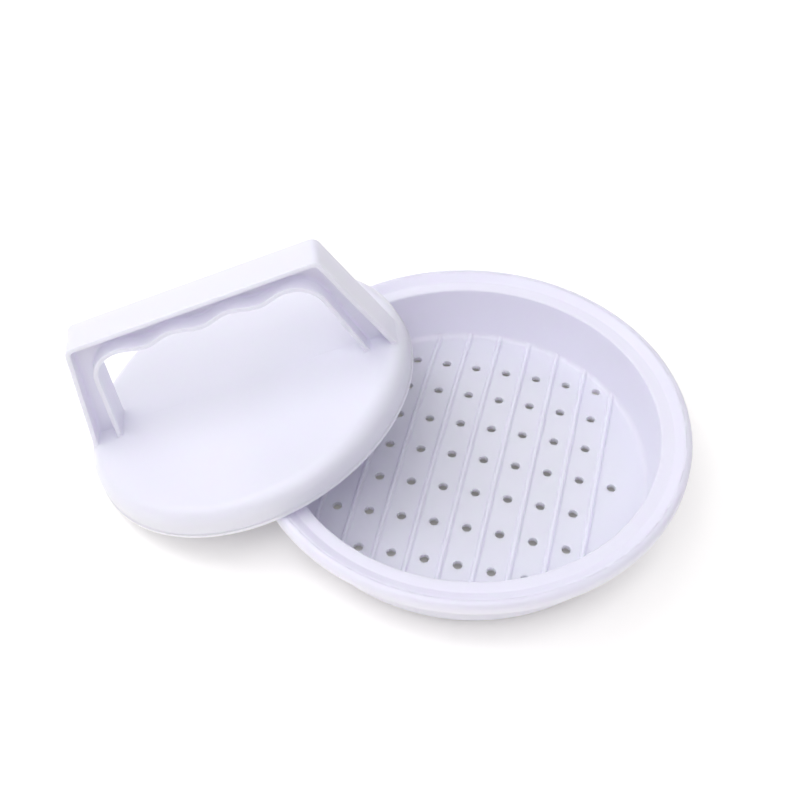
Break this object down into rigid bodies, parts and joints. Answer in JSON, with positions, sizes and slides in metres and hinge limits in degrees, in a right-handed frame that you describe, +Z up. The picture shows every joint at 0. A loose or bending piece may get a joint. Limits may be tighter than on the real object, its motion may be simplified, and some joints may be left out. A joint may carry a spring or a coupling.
{
  "type": "cheese mould",
  "caption": "Hand press mould: round perforated dish with a ribbed floor, and a cup-shaped press lid with an arched finger-grip handle.",
  "frame": {"origin": "on the table, under the middle of the box that holds the dish and the lid leaning beside it", "axes": "+X from the leaning lid towards the dish, square to the floor's ribs; +Y along the ribs, away from a user whose right hand is on the dish's side; +Z up"},
  "size_m": [0.1755, 0.125, 0.0693],
  "materials": {
    "dish_plastic": "glossy white moulded plastic with a faint cool tint",
    "lid_plastic": "glossy white moulded plastic with a faint cool tint"
  },
  "bodies": {
    "dish": {"mould_dish": "dish_plastic"},
    "lid": {"press_lid": "lid_plastic"}
  },
  "joints": [
    {"name": "lid_lift", "type": "slide", "parent": "dish", "child": "lid", "axis": [0, 0, 1], "range_m": [0, 0.08]}
  ]
}
